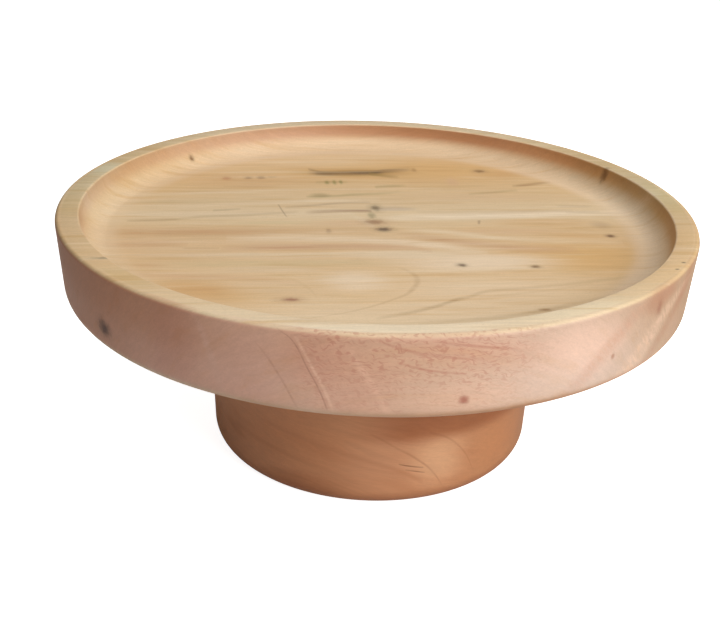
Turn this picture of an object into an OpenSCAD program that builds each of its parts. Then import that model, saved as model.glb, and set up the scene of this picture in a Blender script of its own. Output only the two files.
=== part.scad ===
// Turned wooden cake stand: a dished round plate, turned from one slab,
// on a solid drum that is doweled and screwed to it from below.
// Millimetres. +Z is up and -Y is the front. The origin is the centre of the foot's resting face.

/* [Stand] */
// Height from the table to the top of the rim
stand_h = 122; // [112:1:140]

/* [Plate] */
// Diameter across the top edge
plate_d = 300; // [280:1:320]
// Thickness at the rim
plate_t = 37.5; // [36:0.5:42]
// How far the side leans in between the top edge and the underside
side_lean = 2.6; // [0:0.2:4]
// Radius of the eased outer edge of the rim
top_edge_r = 2; // [1:0.5:3]
// Radius of the round-over below the side
low_edge_r = 7; // [4:0.5:9]

/* [Dish] */
// Width of the rim around the dish
rim_w = 11; // [9:0.5:14]
// Radius of the eased inner edge of the rim
rim_edge_r = 1; // [0.5:0.5:1.5]
// Radius of the cove between the rim and the floor of the dish
cove_r = 12; // [9:0.5:13]

/* [Pedestal] */
// Diameter where the drum meets the plate
drum_top_d = 163; // [150:1:180]
// Diameter of the drum at the table, before its edge is rounded
drum_foot_d = 157; // [146:1:176]
// Radius of the rounded foot edge
foot_edge_r = 10.5; // [6:0.5:12]
// Width of the ring that the foot rests on
foot_ring_w = 10; // [6:0.5:11]
// Depth of the relief inside that ring
relief_depth = 2.5; // [1:0.5:3]

/* [Centre dowel] */
// Diameter of the dowel that centres the drum under the plate
dowel_d = 20; // [12:1:30]
// Length of the dowel
dowel_len = 36; // [24:1:40]
// How much of its length stands in the plate
dowel_in_plate = 15; // [10:1:17]

/* [Screws] */
// Diameter of the circle that the screws stand on
screw_circle_d = 96; // [70:1:98]
// Length of each screw
screw_len = 60; // [55:1:62]
// Wood between the plate and the flat face of each screw's head
screw_grip = 42; // [40:1:44]
// Outside diameter of the thread
thread_d = 5; // [4.5:0.5:5]
// Diameter of the countersunk head
head_d = 10; // [9:0.5:10]
// Diameter of the counterbore that the head is driven through
counterbore_d = 12; // [11:0.5:14]

/* [Hidden] */
$fn = 96;

OVER = 1;                                   // how far a cutting shape runs past the solid
plate_r = plate_d / 2;
pedestal_h = stand_h - plate_t;             // also the height of the plate's underside
rim_in_r = plate_r - rim_w;
floor_r = rim_in_r - cove_r;
dish_depth = cove_r + rim_edge_r;
floor_t = plate_t - dish_depth;             // wood left below the dish
foot_r = drum_foot_d / 2;
relief_r = foot_r - foot_edge_r - foot_ring_w;

DOWEL_FLUTES = 24;
FLUTE_R = 0.5;
DOWEL_CHAMFER = 1.5;
DOWEL_END_GAP = 0.5;                        // glue space past each end of the dowel
dowel_z = pedestal_h + dowel_in_plate - dowel_len / 2;

SCREW_COUNT = 4;
SCREW_HOLE_D = 5.5;                         // clearance hole through the drum
SCREW_TIP_H = 5;
THREAD_CORE_D = 3.2;
THREAD_PITCH = 2.6;
THREAD_TURNS = 12;
SHANK_D = 3.6;
HEAD_H = 3;
SEAT_H = HEAD_H * (head_d - SCREW_HOLE_D) / (head_d - SHANK_D);    // countersink at the head's slope
CROSS_W = 1.1;                              // cross recess in the head
CROSS_SPAN = 5;
CROSS_DEPTH = 2;
PILOT_END_GAP = 0.5;
screw_head_z = pedestal_h - screw_grip;
pilot_depth = screw_len - screw_grip + PILOT_END_GAP;

function unit(v) = v / norm(v);

// What a round-over of radius r takes off the corner p, whose edges run towards a and b.
module corner_cut(p, a, b, r) {
    to_a = unit(a - p);
    to_b = unit(b - p);
    half_angle = acos(to_a * to_b) / 2;
    reach = r / tan(half_angle);
    centre = p + unit(to_a + to_b) * r / sin(half_angle);
    difference() {
        polygon([p + (p - centre), p + to_a * reach, centre, p + to_b * reach]);
        translate(centre) circle(r);
    }
}

// Half section of the plate, its underside at height 0.
module plate_section() {
    side_low = [plate_r - side_lean, 0];
    side_top = [plate_r, plate_t];
    difference() {
        polygon([[0, 0], side_low, side_top, [0, plate_t]]);
        corner_cut(side_low, [0, 0], side_top, low_edge_r);
        corner_cut(side_top, side_low, [0, plate_t], top_edge_r);
        dish_section();
    }
}

// Half section of the dish: flat floor, cove, and the eased inner edge of the rim.
module dish_section() {
    cove_z = plate_t - rim_edge_r;
    translate([0, floor_t]) square([floor_r, dish_depth + OVER]);
    translate([floor_r, cove_z]) circle(cove_r);
    translate([0, cove_z]) square([rim_in_r, rim_edge_r + OVER]);
    difference() {
        translate([rim_in_r - OVER, cove_z]) square([rim_edge_r + OVER, rim_edge_r + OVER]);
        translate([rim_in_r + rim_edge_r, cove_z]) circle(rim_edge_r);
    }
}

// Half section of the drum, its resting ring at height 0.
module drum_section() {
    foot_corner = [foot_r, 0];
    top_corner = [drum_top_d / 2, pedestal_h];
    difference() {
        polygon([
            [0, relief_depth], [relief_r - relief_depth, relief_depth], [relief_r, 0],
            foot_corner, top_corner, [0, pedestal_h]
        ]);
        corner_cut(foot_corner, [0, 0], top_corner, foot_edge_r);
    }
}

module on_screws() {
    for (i = [0 : SCREW_COUNT - 1])
        rotate([0, 0, (i + 0.5) * 360 / SCREW_COUNT])
            translate([screw_circle_d / 2, 0, 0]) children();
}

// The hole for the centre dowel, across both the plate and the drum.
module dowel_hole() {
    translate([0, 0, dowel_z]) cylinder(d = dowel_d, h = dowel_len + 2 * DOWEL_END_GAP, center = true);
}

module plate() {
    color([0.84, 0.73, 0.57]) difference() {
        translate([0, 0, pedestal_h]) rotate_extrude() plate_section();
        dowel_hole();
        on_screws() translate([0, 0, pedestal_h - OVER]) cylinder(d = thread_d, h = pilot_depth + OVER);
    }
}

module pedestal() {
    color([0.72, 0.50, 0.36]) difference() {
        rotate_extrude() drum_section();
        dowel_hole();
        on_screws() {
            translate([0, 0, -OVER]) cylinder(d = counterbore_d, h = screw_head_z + OVER);
            translate([0, 0, screw_head_z]) cylinder(d1 = head_d, d2 = SCREW_HOLE_D, h = SEAT_H);
            translate([0, 0, screw_head_z]) cylinder(d = SCREW_HOLE_D, h = screw_grip + OVER);
        }
    }
}

module centre_dowel() {
    half = dowel_len / 2;
    r = dowel_d / 2;
    color([0.86, 0.76, 0.60]) translate([0, 0, dowel_z]) intersection() {
        linear_extrude(dowel_len, center = true) difference() {
            circle(r);
            for (i = [0 : DOWEL_FLUTES - 1])
                rotate(i * 360 / DOWEL_FLUTES) translate([r, 0]) circle(FLUTE_R, $fn = 16);
        }
        rotate_extrude()
            polygon([
                [0, -half], [r - DOWEL_CHAMFER, -half], [r, DOWEL_CHAMFER - half],
                [r, half - DOWEL_CHAMFER], [r - DOWEL_CHAMFER, half], [0, half]
            ]);
    }
}

// One screw, its head's flat face at height 0 and its point up.
module screw() {
    core_r = THREAD_CORE_D / 2;
    thread_top = screw_len - SCREW_TIP_H;
    thread_z = thread_top - THREAD_TURNS * THREAD_PITCH;
    ridges = [
        for (i = [0 : THREAD_TURNS - 1], step = [[0, core_r], [0.5, thread_d / 2]])
            [step[1], thread_z + (i + step[0]) * THREAD_PITCH]
    ];
    difference() {
        union() {
            cylinder(d1 = head_d, d2 = SHANK_D, h = HEAD_H);
            cylinder(d = SHANK_D, h = thread_z);
            rotate_extrude()
                polygon(concat([[0, thread_z]], ridges, [[core_r, thread_top], [0, screw_len]]));
        }
        for (a = [0, 90])
            rotate([0, 0, a])
                translate([-CROSS_SPAN / 2, -CROSS_W / 2, -OVER])
                    cube([CROSS_SPAN, CROSS_W, CROSS_DEPTH + OVER]);
    }
}

module fixing_screws() {
    color([0.78, 0.74, 0.62]) on_screws() translate([0, 0, screw_head_z]) screw();
}

plate();
pedestal();
centre_dowel();
fixing_screws();
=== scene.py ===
"""Finished look of a turned wooden cake stand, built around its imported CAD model.

Lengths are in millimetres until a shape or a coordinate reaches Blender, which works in metres.
The stand's front faces -Y and its foot rests at height 0.
"""

from __future__ import annotations

import logging
import math
from dataclasses import dataclass
from enum import Enum
from typing import Any, Iterable, Sequence, Union

import bpy
from mathutils import Matrix, Vector


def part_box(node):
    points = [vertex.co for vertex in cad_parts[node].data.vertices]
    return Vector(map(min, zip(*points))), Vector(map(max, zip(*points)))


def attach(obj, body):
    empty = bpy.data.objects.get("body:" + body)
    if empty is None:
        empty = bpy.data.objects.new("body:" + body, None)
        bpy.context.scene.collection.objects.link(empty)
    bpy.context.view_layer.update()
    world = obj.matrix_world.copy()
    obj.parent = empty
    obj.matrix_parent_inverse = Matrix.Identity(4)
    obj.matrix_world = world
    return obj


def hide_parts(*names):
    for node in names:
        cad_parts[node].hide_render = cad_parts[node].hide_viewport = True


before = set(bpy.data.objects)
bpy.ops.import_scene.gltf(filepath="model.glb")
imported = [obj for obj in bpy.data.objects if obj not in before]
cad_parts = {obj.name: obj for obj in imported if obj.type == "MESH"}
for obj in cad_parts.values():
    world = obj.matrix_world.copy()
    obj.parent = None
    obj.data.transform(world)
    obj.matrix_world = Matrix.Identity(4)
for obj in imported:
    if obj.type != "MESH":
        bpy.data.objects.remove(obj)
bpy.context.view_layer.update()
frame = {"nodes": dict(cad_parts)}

LOG = logging.getLogger("cake_stand")
ROOT = "root"
MM = 0.001

Point = tuple[float, float]
Colour = tuple[float, float, float, float]
Number = Union[int, float]


# ---------------------------------------------------------------------------------------------
# Colours and shader maths
# ---------------------------------------------------------------------------------------------


def tone(red: Number, green: Number, blue: Number) -> Colour:
    """A colour given as the 0 to 255 values of a paint chart, as Blender's linear RGBA."""

    def linear(value: Number) -> float:
        share = value / 255
        return share / 12.92 if share <= 0.04045 else ((share + 0.055) / 1.055) ** 2.4

    return (linear(red), linear(green), linear(blue), 1.0)


class Mix(Enum):
    """Ways of laying one colour over another."""

    OVER = "MIX"
    MULTIPLY = "MULTIPLY"


class Value:
    """A number that varies over a surface: one output socket that takes part in Python arithmetic."""

    def __init__(self, shader: "Shader", socket: bpy.types.NodeSocket) -> None:
        """Wraps an output socket of one of the shader's nodes."""
        self.shader = shader
        self.socket = socket

    def _math(self, operation: str, *terms: "Term") -> "Value":
        """Adds one Math node whose first inputs are the given terms."""
        node = self.shader.node("ShaderNodeMath", {"operation": operation}, dict(enumerate(terms)))
        return Value(self.shader, node.outputs[0])

    def __add__(self, other: "Term") -> "Value":
        """self + other."""
        return self._math("ADD", self, other)

    def __radd__(self, other: "Term") -> "Value":
        """other + self."""
        return self._math("ADD", other, self)

    def __sub__(self, other: "Term") -> "Value":
        """self - other."""
        return self._math("SUBTRACT", self, other)

    def __rsub__(self, other: "Term") -> "Value":
        """other - self."""
        return self._math("SUBTRACT", other, self)

    def __mul__(self, other: "Term") -> "Value":
        """self * other."""
        return self._math("MULTIPLY", self, other)

    def __rmul__(self, other: "Term") -> "Value":
        """other * self."""
        return self._math("MULTIPLY", other, self)

    def __truediv__(self, other: "Term") -> "Value":
        """self / other."""
        return self._math("DIVIDE", self, other)

    def __abs__(self) -> "Value":
        """The size of the number without its sign."""
        return self._math("ABSOLUTE", self)

    def root(self) -> "Value":
        """The square root."""
        return self._math("SQRT", self)

    def ramp(self, start: float, end: float, low: float = 0.0, high: float = 1.0) -> "Value":
        """Goes smoothly from low, where self is start, to high, where self is end.

        Args:
            start: the value of self at which the change begins.
            end: the value of self at which it ends; it may be below start.
            low: the result up to start.
            high: the result past end.

        Returns:
            The eased value.
        """
        if start > end:
            start, end, low, high = end, start, high, low
        node = self.shader.node(
            "ShaderNodeMapRange",
            {"interpolation_type": "SMOOTHSTEP"},
            {"Value": self, "From Min": start, "From Max": end, "To Min": low, "To Max": high},
        )
        return Value(self.shader, node.outputs[0])

    def curve(self, *points: Point) -> "Value":
        """Passes self through a smooth curve drawn through the given points.

        Args:
            points: where the curve goes, as (value of self, result), in order.

        Returns:
            The curve's height at self.
        """
        (x0, x1), (y0, y1) = (
            (min(column), max(column)) for column in zip(*points, strict=True)
        )
        width, height = x1 - x0, (y1 - y0) or 1.0
        stops = [((x - x0) / width, (y - y0) / height) for x, y in points]
        share = (self - x0) / width
        node = self.shader.node("ShaderNodeFloatCurve", {"stops": stops}, {"Value": share})
        return Value(self.shader, node.outputs[0]) * height + y0


Term = Union[Value, Number]
Tint = Union["Paint", Colour]


class Paint:
    """A colour that varies over a surface."""

    def __init__(self, shader: "Shader", socket: bpy.types.NodeSocket) -> None:
        """Wraps a colour output socket of one of the shader's nodes."""
        self.shader = shader
        self.socket = socket

    def under(self, colour: Tint, mask: Term, how: Mix = Mix.OVER) -> "Paint":
        """Lays a colour over this one.

        Args:
            colour: the colour on top.
            mask: how much of it shows, from 0 to 1.
            how: the way the two are combined.

        Returns:
            The combined colour.
        """
        node = self.shader.node(
            "ShaderNodeMix",
            {"data_type": "RGBA", "blend_type": how.value, "clamp_factor": True},
            {"Factor_Float": mask, "A_Color": self, "B_Color": colour},
        )
        return Paint(self.shader, node.outputs[2])

    def times(self, gain: Term) -> "Paint":
        """Lightens or darkens the colour by a factor."""
        node = self.shader.node(
            "ShaderNodeVectorMath", {"operation": "SCALE"}, {0: self, "Scale": gain}
        )
        return Paint(self.shader, node.outputs[0])


class Shader:
    """The node tree of one finish, with the few building blocks that the finishes share."""

    def __init__(self, name: str) -> None:
        """Starts a material of that name with an empty node tree and its output."""
        self.material = bpy.data.materials.new(name)
        self.material.use_nodes = True
        self.tree = self.material.node_tree
        self.tree.nodes.clear()
        self.output = self.tree.nodes.new("ShaderNodeOutputMaterial")
        self._coordinates: bpy.types.Node | None = None

    def node(
        self,
        kind: str,
        settings: dict[str, Any] | None = None,
        values: dict[Union[int, str], Any] | None = None,
    ) -> bpy.types.Node:
        """Adds one node.

        Args:
            kind: the node's type.
            settings: its options, set first. "stops" fills a ramp with (place, colour) pairs or a
                curve with (x, y) points.
            values: what goes into its inputs, by name, by identifier or by number.

        Returns:
            The new node.
        """
        node = self.tree.nodes.new(kind)
        for key, setting in (settings or {}).items():
            if key == "stops":
                self._fill(node, setting)
            else:
                setattr(node, key, setting)
        for key, value in (values or {}).items():
            socket = self._input(node, key)
            if isinstance(value, (Value, Paint)):
                self.tree.links.new(value.socket, socket)
            elif isinstance(value, bpy.types.NodeSocket):
                self.tree.links.new(value, socket)
            else:
                socket.default_value = value
        return node

    @staticmethod
    def _input(node: bpy.types.Node, key: Union[int, str]) -> bpy.types.NodeSocket:
        """Finds one of a node's inputs by number, name or identifier."""
        if isinstance(key, str):
            for socket in node.inputs:
                if socket.identifier == key:
                    return socket
        return node.inputs[key]

    @staticmethod
    def _fill(node: bpy.types.Node, stops: Sequence[Any]) -> None:
        """Puts the stops of a colour ramp, or the points of a curve, into a new node."""
        if hasattr(node, "color_ramp"):
            node.color_ramp.interpolation = "B_SPLINE" if len(stops) > 2 else "EASE"
            elements = node.color_ramp.elements
            while len(elements) < len(stops):
                elements.new(0.5)
            for element, (place, colour) in zip(elements, stops, strict=True):
                element.position, element.color = place, colour
            return
        points = node.mapping.curves[0].points
        while len(points) < len(stops):
            points.new(0.5, 0.5)
        for point, place in zip(points, stops, strict=True):
            point.location = place
        node.mapping.update()

    def coordinates(self) -> bpy.types.Node:
        """The material's single Texture Coordinate node."""
        if self._coordinates is None:
            self._coordinates = self.node("ShaderNodeTexCoord")
        return self._coordinates

    def axes(self, source: Any) -> tuple[Value, Value, Value]:
        """Splits a vector into its three numbers."""
        node = self.node("ShaderNodeSeparateXYZ", None, {0: source})
        return tuple(Value(self, output) for output in node.outputs)

    def placed(self, origin: Sequence[float], turn: float = 0.0) -> bpy.types.NodeSocket:
        """The place on the piece, in millimetres, in axes of its own.

        Args:
            origin: the point, in millimetres, at which the axes start.
            turn: how far the axes are turned about the vertical, in degrees.

        Returns:
            The vector socket.
        """
        swung = Matrix.Rotation(math.radians(-turn), 3, "Z")
        start = swung @ Vector(origin)
        node = self.node(
            "ShaderNodeMapping",
            {"vector_type": "POINT"},
            {
                "Vector": self.coordinates().outputs["Object"],
                "Location": tuple(-start),
                "Rotation": tuple(swung.to_euler()),
                "Scale": (1 / MM,) * 3,
            },
        )
        return node.outputs[0]

    def vector(self, x: Term, y: Term, z: Term = 0.0) -> bpy.types.NodeSocket:
        """Joins three numbers into a vector."""
        return self.node("ShaderNodeCombineXYZ", None, {0: x, 1: y, 2: z}).outputs[0]

    def noise(
        self, x: Term, y: Term, z: Term = 0.0, detail: float = 2.0, roughness: float = 0.5
    ) -> Value:
        """Cloudy noise, mostly between -1 and 1.

        Args:
            x: the first coordinate, in units of the noise's own grain.
            y: the second coordinate.
            z: the third coordinate.
            detail: how many finer layers are added.
            roughness: how strong the finer layers are.

        Returns:
            The noise, centred on 0.
        """
        node = self.node(
            "ShaderNodeTexNoise",
            {"noise_dimensions": "3D"},
            {"Vector": self.vector(x, y, z), "Scale": 1.0, "Detail": detail, "Roughness": roughness},
        )
        return (Value(self, node.outputs[0]) - 0.5) * 3.0

    def cells(self, x: Term, y: Term, z: Term = 0.0) -> Value:
        """Distance to the nearest of many scattered points, in units of their spacing."""
        node = self.node(
            "ShaderNodeTexVoronoi", {"feature": "F1"}, {"Vector": self.vector(x, y, z), "Scale": 1.0}
        )
        return Value(self, node.outputs["Distance"])

    def paint(self, colour: Colour) -> Paint:
        """A plain colour to start from."""
        ramp = self.node("ShaderNodeRGB")
        ramp.outputs[0].default_value = colour
        return Paint(self, ramp.outputs[0])

    def bands(self, value: Value, start: float, end: float, *stops: tuple[float, Colour]) -> Paint:
        """Colours that follow one another smoothly along a value.

        Args:
            value: what the colours follow.
            start: the value at the first end of the ramp.
            end: the value at its other end.
            stops: the colours, as (value, colour), in order.

        Returns:
            The colour at the value.
        """
        span = end - start
        node = self.node(
            "ShaderNodeValToRGB",
            {"stops": [((place - start) / span, colour) for place, colour in stops]},
            {0: (value - start) / span},
        )
        return Paint(self, node.outputs[0])

    def finish(
        self, colour: Tint, height: Term, roughness: Term, relief_mm: float, **constants: float
    ) -> bpy.types.Material:
        """Connects the surface.

        Args:
            colour: the surface's own colour.
            height: its fine relief, in units of relief_mm.
            roughness: how matte it is.
            relief_mm: the height of one unit of relief, in millimetres.
            constants: other inputs of the surface that are the same all over.

        Returns:
            The finished material.
        """
        values: dict[Union[int, str], Any] = {"Base Color": colour, "Roughness": roughness}
        if isinstance(height, Value):
            bump = self.node(
                "ShaderNodeBump", None, {"Strength": 1.0, "Distance": relief_mm * MM, "Height": height}
            )
            values["Normal"] = bump.outputs[0]
        values.update({key.replace("_", " "): value for key, value in constants.items()})
        surface = self.node("ShaderNodeBsdfPrincipled", None, values)
        self.tree.links.new(surface.outputs[0], self.output.inputs["Surface"])
        return self.material


# ---------------------------------------------------------------------------------------------
# Wood figure
# ---------------------------------------------------------------------------------------------


@dataclass(frozen=True)
class Knot:
    """A small knot or dark mark inside the wood.

    Attributes:
        place: its centre along the grain, across it and in height, in millimetres.
        size: its half-widths in the same directions.
        colour: the colour at its heart.
        strength: how much of that colour shows at the heart.
        halo: how far, in half-widths, the faint stain around it reaches.
    """

    place: tuple[float, float, float]
    size: tuple[float, float, float]
    colour: Colour
    strength: float = 0.8
    halo: float = 0.0


@dataclass(frozen=True)
class Streak:
    """A line or band that runs through the wood.

    Attributes:
        points: where it runs, as (along, across, strength), in order of the first number.
        width: its half-width across, in millimetres.
        colour: its colour.
        crosswise: whether the first number of each point is measured across the grain instead.
    """

    points: tuple[tuple[float, float, float], ...]
    width: float
    colour: Colour
    crosswise: bool = False


@dataclass(frozen=True)
class Patch:
    """A broad soft area of another colour.

    Attributes:
        place: its centre along and across the grain, in millimetres.
        size: its half-lengths.
        colour: its colour.
        strength: how much of that colour shows at the centre.
        turn: the angle of its long axis to the grain, in degrees.
    """

    place: Point
    size: Point
    colour: Colour
    strength: float
    turn: float = 0.0


class Figure:
    """Draws knots, streaks and patches into a wood colour, in the plank's own coordinates.

    The edges say where each kind of mark fades out and where it is full, in half-widths.
    """

    PATCH_EDGE = (1.3, 0.2)
    STREAK_EDGE = (1.6, 0.1)
    KNOT_EDGE = (1.35, 0.2)
    HALO_FULL = 0.5
    HALO_SHARE = 0.32
    STREAK_FADE = 0.08

    def __init__(self, shader: Shader, along: Value, across: Value, height: Value) -> None:
        """Keeps the shader and the plank's coordinates, in millimetres."""
        self.shader = shader
        self.along = along
        self.across = across
        self.height = height

    def patch(self, colour: Paint, patch: Patch, wander: Term = 0.0, where: Term = 1.0) -> Paint:
        """Lays one soft area into the colour.

        Args:
            colour: the colour so far.
            patch: the area.
            wander: how far its outline is pushed about.
            where: how much of it shows in this part of the wood.

        Returns:
            The colour with the area in it.
        """
        cos, sin = math.cos(math.radians(patch.turn)), math.sin(math.radians(patch.turn))
        x, y = self.along - patch.place[0], self.across - patch.place[1]
        if patch.turn:
            x, y = x * cos + y * sin, y * cos - x * sin
        x, y = x / patch.size[0], y / patch.size[1]
        mask = ((x * x + y * y).root() + wander).ramp(*self.PATCH_EDGE, 0.0, patch.strength)
        return colour.under(patch.colour, mask * where)

    def streak(self, colour: Paint, streak: Streak, breakup: Term = 1.0, wander: Term = 0.0) -> Paint:
        """Lays one streak into the colour.

        Args:
            colour: the colour so far.
            streak: the streak.
            breakup: what its strength is multiplied by.
            wander: how far its edges are torn.

        Returns:
            The colour with the streak in it.
        """
        first, second = (self.across, self.along) if streak.crosswise else (self.along, self.across)
        path = first.curve(*((p[0], p[1]) for p in streak.points))
        ends = (streak.points[0][0], streak.points[-1][0])
        margin = self.STREAK_FADE * (ends[1] - ends[0])
        strength = first.curve(
            (ends[0] - margin, 0.0), *((p[0], p[2]) for p in streak.points), (ends[1] + margin, 0.0)
        )
        mask = (abs(second - path) / streak.width + wander).ramp(*self.STREAK_EDGE) * strength * breakup
        return colour.under(streak.colour, mask)

    def knot(self, colour: Paint, knot: Knot, wander: Term = 0.0) -> Paint:
        """Lays one knot into the colour.

        Args:
            colour: the colour so far.
            knot: the knot.
            wander: how far its outline is pushed about.

        Returns:
            The colour with the knot in it.
        """
        x, y, z = (
            (axis - place) / size
            for axis, place, size in zip(
                (self.along, self.across, self.height), knot.place, knot.size, strict=True
            )
        )
        distance = (x * x + y * y + z * z).root() + wander
        if knot.halo:
            stain = distance.ramp(knot.halo, self.HALO_FULL, 0.0, self.HALO_SHARE * knot.strength)
            colour = colour.under(knot.colour, stain)
        return colour.under(knot.colour, distance.ramp(*self.KNOT_EDGE, 0.0, knot.strength))


# Colours of the plate's wood, and the painted shadow, shade and light laid on the drum and the plate's wall
CREAM = tone(214, 192, 160)
PALE = tone(220, 195, 163)
STRAW = tone(208, 178, 138)
HONEY = tone(203, 160, 100)
AMBER = tone(196, 150, 92)
BISCUIT = tone(199, 158, 118)
ROSE = tone(176, 112, 92)
WARMTH = (0.98, 0.95, 0.87, 1.0)
RIM_TINT = (0.89, 0.98, 1.05, 1.0)
BAND_TINT = (0.87, 0.79, 0.66, 1.0)
# painted shadow of the plate on the top of the drum, darker and redder
PLATE_SHADOW_PAINT = (0.68, 0.53, 0.43, 1.0)
# painted shade on the drum's rounded foot
FOOT_SHADE_PAINT = (0.80, 0.70, 0.62, 1.0)
# painted light, lighter and bluer, on the lower part of the plate's side wall
LOW_WALL_LIGHT_PAINT = (1.10, 1.20, 1.32, 1.0)


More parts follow.
